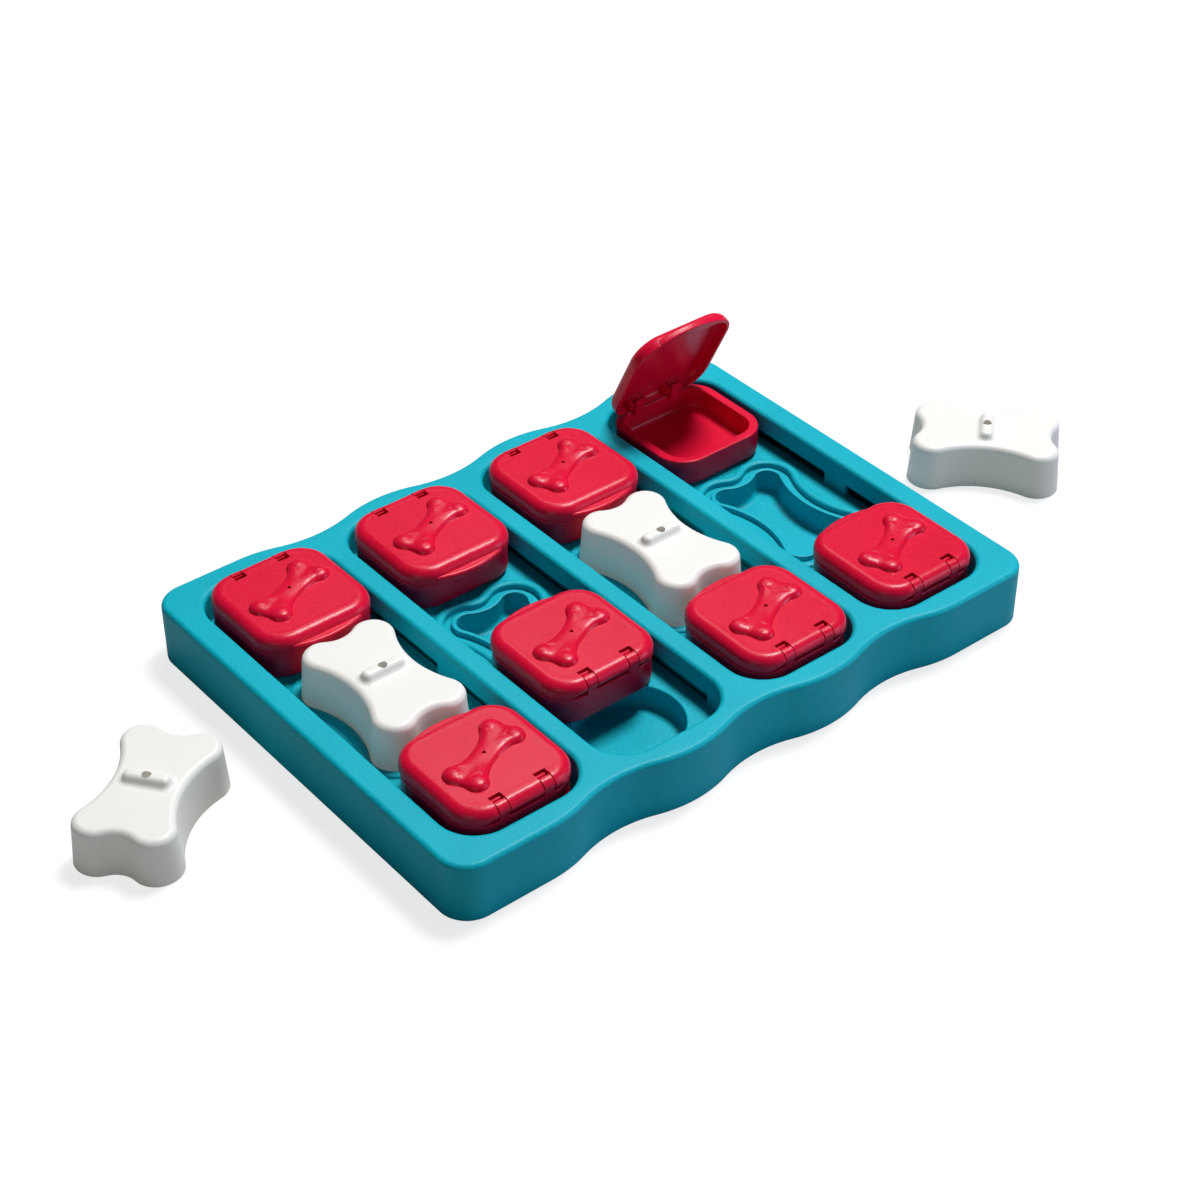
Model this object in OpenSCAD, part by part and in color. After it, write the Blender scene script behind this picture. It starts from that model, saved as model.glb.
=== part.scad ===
// Sliding-box treat puzzle: a moulded board with four tracks, eight boxes with
// flip lids that slide along the tracks, and four lift-off bone blocks.
// X runs across the tracks, Y along them, Z up. The origin is at the middle of
// the board's underside.

/* [Board] */
// Length of the board across the four tracks
board_len = 324; // [318:1:340]
// Width of the board along the tracks, over the bulges
board_wid = 231; // [228:1:250]
// Height of the board from its rim to its deck
board_h = 30; // [28:0.5:40]
// Plan radius of the board's four corners
board_corner_r = 14; // [8:1:20]
// Depth of the three hollows in each long side
scallop_depth = 6.2; // [3:0.2:7]
// Width of each hollow along the side
scallop_w = 60; // [50:1:66]
// Radius of the rounded edge between deck and sides
board_edge_r = 2.5; // [1:0.5:3]
// Thickness of the board's outer wall
board_wall = 3; // [2:0.5:4]
// Thickness of the deck between the tracks
deck_t = 2.6; // [2:0.2:4]
// Thickness of the ribs under the board
rib_t = 2; // [1.2:0.2:3]

/* [Tracks] */
// Distance between the middles of two neighbouring tracks
track_pitch = 77.2; // [76:0.2:78]
// Width of a track
track_w = 66; // [65:0.5:67]
// Width of the deck between a track's end and the bulges of the long side
end_land = 12.5; // [10.5:0.5:14]
// Plan radius of a track's corners
track_corner_r = 18; // [12:1:22]
// Radius of the rounded edge where a track meets the deck
track_edge_r = 1.4; // [0.6:0.2:2]
// Depth of a track's floor below the deck
track_depth = 15.2; // [14.6:0.2:16]
// Thickness of the moulded walls and floors of the tracks and pockets
skin_t = 2.2; // [1.6:0.2:2.6]
// Height of the guide slots at the foot of the track walls
slot_h = 5.2; // [4.6:0.2:6]
// Length of solid wall between the two slots of a wall
slot_gap = 14.4; // [8:0.4:20]

/* [Pockets] */
// Radius of the round treat pocket under each box
pocket_r = 24.5; // [18:0.5:25]
// Depth of all treat pockets below the track floor
pocket_depth = 11; // [8:0.5:11.5]
// Width of the lip around a bone pocket
lip_w = 2.3; // [1.6:0.1:2.8]
// Height of the lip and the bead above the track floor
lip_h = 0.8; // [0.4:0.1:1]
// Width of the bead outside the groove
bead_w = 4.2; // [2:0.2:5]
// Depth of the bone's groove below the track floor
groove_depth = 1.4; // [0.8:0.1:1.6]

/* [Boxes] */
// Gap between a box at home and the end of its track
box_end_gap = 3.25; // [2.5:0.25:4]
// Width of a box across its track
box_w = 59; // [56:0.5:60]
// Length of a box along its track
box_l = 57; // [56:0.5:58]
// Plan radius of a box's corners
box_corner_r = 15; // [12:1:18]
// Width of a box's flat rim
box_rim = 4.6; // [3.6:0.2:5]
// Thickness of a box's floor
box_floor = 2.2; // [1.6:0.2:3]
// Gap between the underside of a box and the bead below it
box_ride = 0.7; // [0.4:0.1:1]
// Drop of a box's rim below the deck
rim_drop = 0.4; // [0:0.1:1]
// Length of a box's guide tabs
tab_l = 24; // [16:1:28]
// Height of a box's guide tabs
tab_h = 3.6; // [2.6:0.2:4]
// Reach of the guide tabs into the slots
tab_reach = 1.8; // [1:0.1:2]
// Distance that the second track's near box stands from its home
slid_box = 39.5; // [0:0.5:44]

/* [Lids] */
// Plan size of a lid, square
lid_w = 59; // [57:0.5:60]
// Height of a lid
lid_h = 7.5; // [6.8:0.1:9]
// Plan radius of a lid's corners
lid_corner_r = 15; // [12:1:18]
// Radius of a lid's rounded top edge
lid_edge_r = 5; // [3:0.1:5.4]
// Thickness of a lid's top
lid_top_t = 2.2; // [1.6:0.2:2.8]
// Thickness of a lid's skirt
lid_skirt_t = 3; // [2:0.2:4]
// Gap between a closed lid and its box
lid_gap = 0.3; // [0.2:0.1:0.6]
// How far the thumb lip stands out
thumb_out = 3.7; // [2:0.1:4.2]
// Width of the thumb lip
thumb_w = 36; // [28:1:42]
// Height of the thumb lip
thumb_h = 3.6; // [2.6:0.2:4.4]
// Opening angle of the fourth track's far lid
open_angle = 64; // [0:1:100]

/* [Hinge] */
// Depth of the hinge axis below a lid's top and in from its edge
hinge_in = 3.9; // [3.6:0.1:4.4]
// Radius of a hinge pin
pin_r = 1.5; // [1.2:0.1:1.8]
// Radial clearance of a pin in its eye
pin_clear = 0.05; // [0.02:0.01:0.1]
// Width of a hinge lug
lug_w = 5; // [4:0.2:7]
// Distance of the lugs from the middle of the box
lug_x = 11.4; // [10:0.2:14]
// Gap between a lug and the lid around it
lug_gap = 0.6; // [0.3:0.1:0.8]
// Width of the snap mouth in a lug's eye
mouth_w = 1.8; // [1.6:0.1:2.3]
// Upward tilt of the snap mouth
mouth_tilt = 50; // [30:5:70]

/* [Relief] */
// Height of the bone relief on a lid
relief_h = 2.4; // [0.8:0.1:3]
// Turn of the relief against the track's cross direction
relief_angle = 26; // [0:1:90]
// Distance of the relief's knobs from its middle, lengthwise
relief_l = 17; // [14:0.2:18]
// Distance of the relief's knobs from its middle, crosswise
relief_c = 5.5; // [4.5:0.1:7]
// Radius of the relief's knobs
relief_r = 5.1; // [4:0.1:6]
// Half width of the relief's shank
relief_waist = 4.7; // [3:0.1:5.4]
// Radius of the pinhole in the relief
pinhole_r = 0.9; // [0.6:0.1:1.5]

/* [Bones] */
// Height of a bone block without its rib
bone_h = 23; // [20:0.5:26]
// Distance of the lobes from the bone's middle, across the track
lobe_x = 12.6; // [11:0.2:14]
// Gap between a bone's foot and a box at home
bone_box_gap = 5.65; // [5:0.05:7.4]
// Radius of a lobe
lobe_r = 9.8; // [8.5:0.1:10]
// Depth of the hollows in the bone's two sides
side_dip = 6.4; // [4.4:0.2:7.8]
// Depth of the hollows in the bone's two ends
end_dip = 3.8; // [2.6:0.2:4.6]
// Rounding of the bone's top edge
bone_edge_r = 3.2; // [2:0.2:4.4]
// How much wider each side is at the foot than at the top
bone_draft = 1.5; // [0.6:0.1:2]
// Wall thickness of a bone block
bone_wall = 2.4; // [1.8:0.2:3]
// Gap on each side of a bone's wall in its groove
bone_gap = 0.5; // [0.3:0.1:0.8]
// Height of the grip rib on a bone
rib_h = 4.2; // [3:0.2:6]
// Length of the grip rib
rib_l = 22; // [16:1:26]
// Width of the grip rib at its foot
rib_foot_w = 7.4; // [6:0.2:8]
// Width of the grip rib at its top
rib_top_w = 5.2; // [4.8:0.2:5.8]
// Radius of the hole in the grip rib
rib_hole_r = 2.1; // [1.2:0.1:2.2]
// Place of the lifted second bone on the floor, across the tracks
loose_2_x = -223; // [-260:1:-215]
// Place of the lifted second bone on the floor, along the tracks
loose_2_y = 17; // [-60:1:60]
// Turn of the lifted second bone
loose_2_turn = -53; // [-90:1:90]
// Place of the lifted fourth bone on the floor, across the tracks
loose_4_x = 233; // [215:1:260]
// Place of the lifted fourth bone on the floor, along the tracks
loose_4_y = -19; // [-60:1:60]
// Turn of the lifted fourth bone
loose_4_turn = 42; // [-90:1:90]

/* [Hidden] */
$fn = 48;
eps = 0.01;
over = 1;

board_teal = "#1ea5bd";
box_red = "#a8132f";
lid_red = "#e01c3c";
bone_white = "#f1efe9";

tracks = [-1.5, -0.5, 0.5, 1.5];
sides = [-1, 1];
track_len = board_wid - 2 * end_land;
floor_z = board_h - track_depth;
tub_z = floor_z - skin_t;
deck_z = board_h - deck_t;
pocket_z = floor_z - pocket_depth;
box_home = track_len / 2 - box_end_gap - box_l / 2;
rim_z = board_h - rim_drop;
box_z = floor_z + lip_h + box_ride;
box_h = rim_z - box_z;
tab_play = 0.3;
tab_z = floor_z + tab_play;
tab_x = track_w / 2 + tab_reach;
tab_root = 0.5;
slot_x = tab_x + 2 * tab_play;
slot_end = box_home + tab_l / 2 + 2 * tab_play;
lid_z = rim_z + lid_gap;
hinge_z = lid_z + lid_h - hinge_in;
hinge_y = lid_w / 2 - hinge_in;
swing_gap = 0.3;
hinge_r = hinge_z - lid_z - pin_clear;
lug_r = hinge_in - swing_gap;
notch_y = hinge_y - hinge_in - lug_gap - swing_gap;
notch_half = lug_w / 2 + lug_gap;
inner_len = board_len - 2 * board_wall;
inner_wid = board_wid - 2 * board_wall;
rib_y = box_home - pocket_r - skin_t - rib_t;
rib_half = board_wid / 2 - scallop_depth - board_wall;
bar_half = lug_x + notch_half + lid_skirt_t;
groove_gap = 0.3;
bone_z = floor_z - groove_depth + groove_gap;
pocket_grow = bone_draft - bone_wall - bone_gap - lip_w;
lobe_y = box_home - box_l / 2 - bone_box_gap - bone_draft - lobe_r;
waist_x = lobe_x + lobe_r - side_dip;
waist_y = lobe_y + lobe_r - end_dip;
scallop_r = (pow(scallop_w / 2, 2) + pow(scallop_depth, 2)) / (2 * scallop_depth);
thumb_r = (thumb_w * thumb_w / 4 + thumb_out * thumb_out) / (2 * thumb_out);

// Bone outline: four lobes joined by arcs that curve in. Each arc runs into
// its two lobes by crease, so that they cross and don't only touch.
crease = 0.12;
side_r = (pow(lobe_x - waist_x, 2) + pow(lobe_y, 2) - pow(lobe_r, 2)) / (2 * (lobe_r + lobe_x - waist_x));
side_x = waist_x + side_r;
side_a = atan2(lobe_y, side_x - lobe_x);
end_r = (pow(lobe_y - waist_y, 2) + pow(lobe_x, 2) - pow(lobe_r, 2)) / (2 * (lobe_r + lobe_y - waist_y));
end_y = waist_y + end_r;
end_a = atan2(lobe_x, end_y - lobe_y);
core_x = lobe_x + lobe_r * cos(side_a);
core_y = lobe_y + lobe_r * cos(end_a);

// Section of an edge: from the middle of a solid out to reach, rounded at the
// top and wider by flare at the foot.
module edge_section(reach, height, edge_r, flare) {
    polygon([
        [0, 0], [reach + flare, 0], [reach, height - edge_r], [0, height - edge_r]
    ]);
    if (edge_r > 0) {
        translate([0, height - edge_r - eps])
            square([reach - edge_r, edge_r + eps]);
        intersection() {
            translate([reach - edge_r, height - edge_r]) circle(edge_r);
            translate([reach - edge_r - eps, height - edge_r - eps]) square(edge_r + over);
        }
    }
}

// The children, a section through a wall with the wall's face on its Y axis,
// carried round a rectangle with round corners.
module around(len_x, len_y, corner_r) {
    half_x = len_x / 2 - corner_r;
    half_y = len_y / 2 - corner_r;
    for (quarter = [0:3]) {
        out_x = quarter == 0 || quarter == 3 ? half_x : -half_x;
        out_y = quarter < 2 ? half_y : -half_y;
        reach = quarter % 2 == 0 ? half_y : half_x;
        run = quarter % 2 == 0 ? half_x : half_y;
        translate([out_x, out_y, 0]) rotate(quarter * 90)
            rotate_extrude(angle = 90) translate([corner_r, 0]) children();
        rotate(quarter * 90) translate([-run, reach + corner_r, 0]) rotate([90, 0, 90])
            linear_extrude(2 * run) children();
    }
}

// Slab with a rectangular plan, round corners and a rounded top edge.
module slab(len_x, len_y, corner_r, height, edge_r = 0) {
    half_x = len_x / 2 - corner_r;
    half_y = len_y / 2 - corner_r;
    around(len_x, len_y, corner_r)
        translate([-corner_r, 0]) edge_section(corner_r, height, edge_r, 0);
    translate([-half_x, -half_y, 0]) cube([2 * half_x, 2 * half_y, height]);
}

// Plan of a bone, grown by grow on every side.
module bone_plan(grow) {
    difference() {
        union() {
            for (x = sides, y = sides)
                translate([x * lobe_x, y * lobe_y]) circle(lobe_r + grow);
            square([2 * (core_x + grow * cos(side_a)), 2 * lobe_y], center = true);
            square([2 * lobe_x, 2 * (core_y + grow * cos(end_a))], center = true);
        }
        for (way = sides) {
            translate([way * side_x, 0]) circle(side_r - grow + crease);
            translate([0, way * end_y]) circle(end_r - grow + crease);
        }
    }
}

// Cutter that leaves an edge curving in, rounded at the top.
module waist_cut(r, height, edge_r, flare) {
    rotate_extrude() difference() {
        polygon([
            [0, -over], [r - flare * (1 + over / height), -over], [r, height - edge_r],
            [r + edge_r, height - edge_r], [r + edge_r, height + over], [0, height + over]
        ]);
        translate([r + edge_r, height - edge_r]) circle(edge_r);
    }
}

// Straight core of a bone block, with the block's own edge on its two sides.
module bone_core(reach, half_run, height, edge_r, flare) {
    rotate([90, 0, 0]) translate([0, 0, -half_run]) linear_extrude(2 * half_run)
        for (way = [0:1]) mirror([way, 0]) edge_section(reach, height, edge_r, flare);
}

// Solid block with the bone's plan, grown by grow, with a rounded top edge and
// a wider foot.
module bone_block(grow, height, edge_r, flare) {
    difference() {
        union() {
            for (x = sides, y = sides)
                translate([x * lobe_x, y * lobe_y, 0])
                    rotate_extrude() edge_section(lobe_r + grow, height, edge_r, flare);
            bone_core(core_x + grow * cos(side_a), lobe_y, height, edge_r, flare);
            rotate(90) bone_core(core_y + grow * cos(end_a), lobe_x, height, edge_r, flare);
        }
        for (way = sides) {
            translate([way * side_x, 0, 0]) waist_cut(side_r - grow + crease, height, edge_r, flare);
            translate([0, way * end_y, 0]) waist_cut(end_r - grow + crease, height, edge_r, flare);
        }
    }
}

module bone() {
    color(bone_white) difference() {
        union() {
            bone_block(0, bone_h, bone_edge_r, bone_draft);
            translate([-rib_l / 2, 0, bone_h - over]) rotate([90, 0, 90])
                linear_extrude(rib_l)
                    polygon([
                        [-rib_foot_w / 2, 0], [rib_foot_w / 2, 0],
                        [rib_top_w / 2, rib_h + over], [-rib_top_w / 2, rib_h + over]
                    ]);
        }
        translate([0, 0, -eps]) bone_block(-bone_wall, bone_h - bone_wall, bone_edge_r - 1, bone_draft);
        translate([0, 0, bone_h - bone_wall - over]) cylinder(r = rib_hole_r, h = rib_h + bone_wall + 2 * over);
    }
}

// Everything cut out of a track's tub: its space, its slots and its pockets.
module track_cuts() {
    translate([0, 0, floor_z])
        slab(track_w, track_len, track_corner_r, track_depth + over);
    for (end = sides) {
        translate([0, end * box_home, pocket_z]) cylinder(r = pocket_r, h = pocket_depth + over);
        for (side = sides)
            translate([side * slot_x / 2, end * (slot_end + slot_gap / 2) / 2, floor_z + slot_h / 2])
                cube([slot_x, slot_end - slot_gap / 2, slot_h], center = true);
    }
    translate([0, 0, floor_z - groove_depth]) linear_extrude(groove_depth + over)
        bone_plan(bone_draft + bone_gap);
    translate([0, 0, pocket_z]) linear_extrude(pocket_depth + over)
        bone_plan(pocket_grow);
}

// Lip around the bone pocket and bead outside the groove.
module track_rings() {
    translate([0, 0, floor_z - groove_depth - over]) linear_extrude(groove_depth + over + lip_h)
        difference() {
            bone_plan(bone_draft - bone_wall - bone_gap);
            bone_plan(pocket_grow);
        }
    translate([0, 0, floor_z - over]) linear_extrude(over + lip_h)
        difference() {
            intersection() {
                bone_plan(bone_draft + bone_gap + bead_w);
                square([box_w - 2 * tab_root - 0.4, track_len], center = true);
            }
            bone_plan(bone_draft + bone_gap);
        }
}

// One track's tub below the deck: its walls, and its floor with the rings.
module track(number) {
    color(board_teal) translate([tracks[number - 1] * track_pitch, 0, 0]) {
        difference() {
            union() {
                translate([0, 0, tub_z])
                    slab(track_w + 2 * skin_t, track_len + 2 * skin_t, track_corner_r + skin_t, deck_z - tub_z);
                translate([0, 0, tub_z - groove_depth]) linear_extrude(groove_depth + over)
                    bone_plan(bone_draft + bone_gap + skin_t);
            }
            track_cuts();
        }
        track_rings();
    }
}

// The three treat pockets that hang below one track's floor.
module wells(number) {
    color(board_teal) translate([tracks[number - 1] * track_pitch, 0, 0]) {
        for (end = sides) translate([0, end * box_home, 0]) difference() {
            translate([0, 0, pocket_z - skin_t]) cylinder(r = pocket_r + skin_t, h = pocket_depth);
            translate([0, 0, pocket_z]) cylinder(r = pocket_r, h = pocket_depth);
        }
        difference() {
            translate([0, 0, pocket_z - skin_t]) linear_extrude(pocket_depth - groove_depth)
                bone_plan(pocket_grow + skin_t);
            translate([0, 0, pocket_z]) linear_extrude(pocket_depth) bone_plan(pocket_grow);
        }
    }
}

// Cutters for the hollows in the two long sides.
module scallops(r, height) {
    for (x = [-1:1], y = sides)
        translate([x * track_pitch, y * (board_wid / 2 - scallop_depth + scallop_r), -over])
            cylinder(r = r, h = height + 2 * over, $fn = 96);
}

// Deck and outer wall of the board, open below.
module board() {
    color(board_teal) difference() {
        slab(board_len, board_wid, board_corner_r, board_h, board_edge_r);
        scallops(scallop_r, board_h);
        difference() {
            translate([0, 0, -over])
                slab(inner_len, inner_wid, board_corner_r - board_wall, deck_z + over);
            scallops(scallop_r + board_wall, board_h);
        }
        for (x = tracks) translate([x * track_pitch, 0, 0]) {
            translate([0, 0, deck_z - over])
                slab(track_w, track_len, track_corner_r, deck_t + 2 * over);
            translate([0, 0, board_h])
                around(track_w, track_len, track_corner_r)
                    difference() {
                        translate([-over, -track_edge_r]) square([track_edge_r + over, track_edge_r + over]);
                        translate([track_edge_r, -track_edge_r]) circle(track_edge_r);
                    }
        }
    }
}

// Three ribs under the deck, between the tracks.
module long_ribs() {
    color(board_teal) for (x = [-1:1])
        translate([x * track_pitch - rib_t / 2, -rib_half, 0]) cube([rib_t, 2 * rib_half, deck_z]);
}

// Short ribs under the tracks, from rib to rib and out to the end walls.
module cross_ribs() {
    mid_run = track_pitch - rib_t;
    end_run = inner_len / 2 - track_pitch - rib_t / 2;
    color(board_teal) for (y = sides) translate([0, y * rib_y - rib_t / 2, 0]) {
        for (x = sides) translate([x * track_pitch / 2 - mid_run / 2, 0, 0]) cube([mid_run, rib_t, tub_z]);
        for (x = sides)
            translate([x * (inner_len - end_run) / 2 - end_run / 2, 0, 0]) cube([end_run, rib_t, tub_z]);
    }
}

// A box in its own place, with its hinge on the +Y side.
module box() {
    cup_z = box_z + box_floor;
    color(box_red) difference() {
        union() {
            translate([0, 0, box_z]) slab(box_w, box_l, box_corner_r, box_h);
            for (side = [0:1]) mirror([side, 0, 0])
                translate([box_w / 2 - tab_root, -tab_l / 2, tab_z])
                    cube([tab_x - box_w / 2 + tab_root, tab_l, tab_h]);
            for (x = sides) translate([x * lug_x - lug_w / 2, 0, 0]) {
                translate([0, hinge_y, hinge_z]) rotate([0, 90, 0]) cylinder(r = lug_r, h = lug_w);
                translate([0, hinge_y - lug_r + 0.2, rim_z - over])
                    cube([lug_w, 2 * lug_r - 0.8, hinge_z - rim_z + over]);
            }
        }
        translate([0, 0, cup_z])
            slab(box_w - 2 * box_rim, box_l - 2 * box_rim, box_corner_r - box_rim, box_h);
        for (x = sides) {
            translate([x * lug_x - lug_w / 2 - over, hinge_y, hinge_z]) {
                rotate([0, 90, 0]) cylinder(r = pin_r + pin_clear, h = lug_w + 2 * over);
                rotate([-mouth_tilt, 0, 0]) translate([0, -lug_r - over, -mouth_w / 2])
                    cube([lug_w + 2 * over, lug_r + over, mouth_w]);
            }
        }
        for (span = [[-lid_w / 2, -lug_x - lug_w / 2], [-lug_x + lug_w / 2, lug_x - lug_w / 2], [lug_x + lug_w / 2, lid_w / 2]])
            translate([span[0], hinge_y, hinge_z]) rotate([0, 90, 0])
                cylinder(r = hinge_in + swing_gap, h = span[1] - span[0]);
    }
}

// A closed lid over its box, with its hinge on the +Y side.
module lid() {
    color(lid_red) difference() {
        union() {
            difference() {
                translate([0, 0, lid_z]) slab(lid_w, lid_w, lid_corner_r, lid_h, lid_edge_r);
                translate([0, 0, lid_z - over])
                    slab(lid_w - 2 * lid_skirt_t, lid_w - 2 * lid_skirt_t, lid_corner_r - lid_skirt_t,
                        lid_h - lid_top_t + over);
            }
            translate([-bar_half, notch_y - lid_skirt_t, lid_z])
                cube([2 * bar_half, hinge_y + over - notch_y + lid_skirt_t, lid_h - lid_top_t + eps]);
            intersection() {
                translate([-thumb_w / 2, -lid_w / 2 - thumb_out - over, lid_z])
                    cube([thumb_w, thumb_out + over + lid_skirt_t - 1, thumb_h]);
                translate([0, thumb_r - lid_w / 2 - thumb_out, lid_z]) cylinder(r = thumb_r, h = thumb_h, $fn = 96);
            }
            translate([0, 0, lid_z + lid_h - lid_top_t / 2]) rotate(relief_angle)
                relief(lid_top_t / 2 + relief_h);
        }
        difference() {
            translate([-lid_w / 2, hinge_y, lid_z - over]) cube([lid_w, lid_w / 2, hinge_z - lid_z + over]);
            translate([-lid_w / 2 - over, hinge_y, hinge_z]) rotate([0, 90, 0])
                cylinder(r = hinge_r, h = lid_w + 2 * over);
        }
        for (x = sides)
            translate([x * lug_x - notch_half, notch_y, lid_z - over])
                cube([2 * notch_half, lid_w / 2, lid_h + 2 * over]);
        cylinder(r = pinhole_r, h = lid_z + lid_h + relief_h + over);
    }
    color(lid_red)
        for (x = sides)
            translate([x * lug_x - notch_half - over, hinge_y, hinge_z]) rotate([0, 90, 0])
                cylinder(r = pin_r, h = 2 * notch_half + 2 * over);
}

module relief(height) {
    for (x = sides, y = sides)
        translate([x * relief_l, y * relief_c, 0]) cylinder(r = relief_r, h = height);
    translate([-relief_l, -relief_waist, 0]) cube([2 * relief_l, 2 * relief_waist, height]);
    for (x = sides)
        translate([x * relief_l - relief_r / 2, -relief_c, 0]) cube([relief_r, 2 * relief_c, height]);
}

// Moves a box or lid, drawn with its hinge on the +Y side, into its track.
module place(number, far, slid = 0) {
    translate([tracks[number - 1] * track_pitch, 0, 0]) rotate(far ? 0 : 180)
        translate([0, box_home - slid, 0]) children();
}

// Turns a lid open about its hinge.
module opened(angle) {
    translate([0, hinge_y, hinge_z]) rotate([-angle, 0, 0])
        translate([0, -hinge_y, -hinge_z]) children();
}

// Sets a bone block into its track's groove.
module seated(number) {
    translate([tracks[number - 1] * track_pitch, 0, bone_z]) children();
}

module track_1() { track(1); }
module track_2() { track(2); }
module track_3() { track(3); }
module track_4() { track(4); }

module wells_1() { wells(1); }
module wells_2() { wells(2); }
module wells_3() { wells(3); }
module wells_4() { wells(4); }

module box_1_near() { place(1, false) box(); }
module box_1_far() { place(1, true) box(); }
module box_2_near() { place(2, false, slid_box) box(); }
module box_2_far() { place(2, true) box(); }
module box_3_near() { place(3, false) box(); }
module box_3_far() { place(3, true) box(); }
module box_4_near() { place(4, false) box(); }
module box_4_far() { place(4, true) box(); }

module lid_1_near() { place(1, false) lid(); }
module lid_1_far() { place(1, true) lid(); }
module lid_2_near() { place(2, false, slid_box) lid(); }
module lid_2_far() { place(2, true) lid(); }
module lid_3_near() { place(3, false) lid(); }
module lid_3_far() { place(3, true) lid(); }
module lid_4_near() { place(4, false) lid(); }
module lid_4_far() { place(4, true) opened(open_angle) lid(); }

module bone_1() { seated(1) bone(); }
module bone_2() { translate([loose_2_x, loose_2_y, 0]) rotate(loose_2_turn) bone(); }
module bone_3() { seated(3) bone(); }
module bone_4() { translate([loose_4_x, loose_4_y, 0]) rotate(loose_4_turn) bone(); }

board();
long_ribs();
cross_ribs();
track_1();
track_2();
track_3();
track_4();
wells_1();
wells_2();
wells_3();
wells_4();
box_1_near();
box_1_far();
box_2_near();
box_2_far();
box_3_near();
box_3_far();
box_4_near();
box_4_far();
lid_1_near();
lid_1_far();
lid_2_near();
lid_2_far();
lid_3_near();
lid_3_far();
lid_4_near();
lid_4_far();
bone_1();
bone_2();
bone_3();
bone_4();
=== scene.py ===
"""A sliding-box treat puzzle for dogs: a moulded teal board with four tracks,
eight red boxes with flip lids, and four white bone blocks, two of them lifted
off. It stands on a pale floor in soft light. Sizes are in millimetres until a
mesh is done."""

import math

import bmesh
import bpy
from mathutils import Matrix, Vector


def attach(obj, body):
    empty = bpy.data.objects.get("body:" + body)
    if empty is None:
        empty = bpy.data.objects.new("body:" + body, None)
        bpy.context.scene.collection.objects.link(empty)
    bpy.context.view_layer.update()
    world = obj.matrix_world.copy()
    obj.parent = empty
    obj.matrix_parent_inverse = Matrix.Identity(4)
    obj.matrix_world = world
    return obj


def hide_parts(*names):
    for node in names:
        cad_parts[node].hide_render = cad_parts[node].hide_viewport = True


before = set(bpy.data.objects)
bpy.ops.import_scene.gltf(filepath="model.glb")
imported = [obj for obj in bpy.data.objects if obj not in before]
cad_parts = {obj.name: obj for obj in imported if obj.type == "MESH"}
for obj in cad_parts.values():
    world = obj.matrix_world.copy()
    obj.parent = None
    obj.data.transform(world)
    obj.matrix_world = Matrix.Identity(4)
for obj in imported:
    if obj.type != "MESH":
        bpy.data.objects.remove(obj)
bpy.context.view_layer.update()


# The room: a pale floor under soft light from above and behind, so that the
# tops are bright and the sides that face the camera fall off. The lamps'
# places and sizes are in metres.

MM = 0.001
scene = bpy.context.scene
scene.view_settings.view_transform = "Standard"


def colour(hex_code):
    """An sRGB hex colour as the linear one that a shader takes."""
    parts = [int(hex_code[i : i + 2], 16) / 255 for i in (1, 3, 5)]
    linear = [c / 12.92 if c <= 0.04045 else ((c + 0.055) / 1.055) ** 2.4 for c in parts]
    return (*linear, 1.0)


def add_node(owner, kind, sockets=None, **settings):
    """A node of that kind. The sockets are inputs by number. A setting that
    names an input goes to it, and any other to the node itself. A value that
    is another node's output is linked."""
    node = owner.node_tree.nodes.new(kind)
    inputs = dict(sockets or {})
    for name, value in settings.items():
        label = name.replace("_", " ")
        if label in node.inputs:
            inputs[label] = value
        else:
            setattr(node, name, value)
    for key, value in inputs.items():
        if isinstance(value, bpy.types.NodeSocket):
            owner.node_tree.links.new(value, node.inputs[key])
        else:
            node.inputs[key].default_value = value
    return node


CAMERA_TARGET = Vector((-0.98, -4.94, 22.0)) * MM
CAMERA_TURN = math.radians(-39.12)
CAMERA_RISE = math.radians(37.64)
CAMERA_DISTANCE = 1.13956
CAMERA_LENS = 76.0

camera = bpy.data.objects.new("camera", bpy.data.cameras.new("camera"))
scene.collection.objects.link(camera)
scene.camera = camera
back = Vector((
    math.sin(CAMERA_TURN) * math.cos(CAMERA_RISE),
    -math.cos(CAMERA_TURN) * math.cos(CAMERA_RISE),
    math.sin(CAMERA_RISE),
))
camera.location = CAMERA_TARGET + back * CAMERA_DISTANCE
camera.rotation_euler = back.to_track_quat("Z", "Y").to_euler()
camera.data.lens = CAMERA_LENS
camera.data.clip_end = 20


def add_light(name, place, size, power, tint="#ffffff"):
    """A round soft lamp that faces the board."""
    light = bpy.data.lights.new(name, "AREA")
    light.shape = "DISK"
    light.size = size
    light.energy = power
    light.color = colour(tint)[:3]
    lamp = bpy.data.objects.new(name, light)
    scene.collection.objects.link(lamp)
    lamp.location = place
    lamp.rotation_euler = Vector(place).to_track_quat("Z", "Y").to_euler()


add_light("overhead", (1.23, 0.30, 2.97), 0.99, 109.5)
add_light("behind", (0.58, 0.82, 1.28), 0.5, 3.0)
add_light("right_fill", (1.7, -1.6, 0.6), 1.1, 14.5, "#bfdcff")
add_light("left_fill", (-1.7, -0.9, 0.6), 1.0, 2.3, "#f0f4ff")

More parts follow.
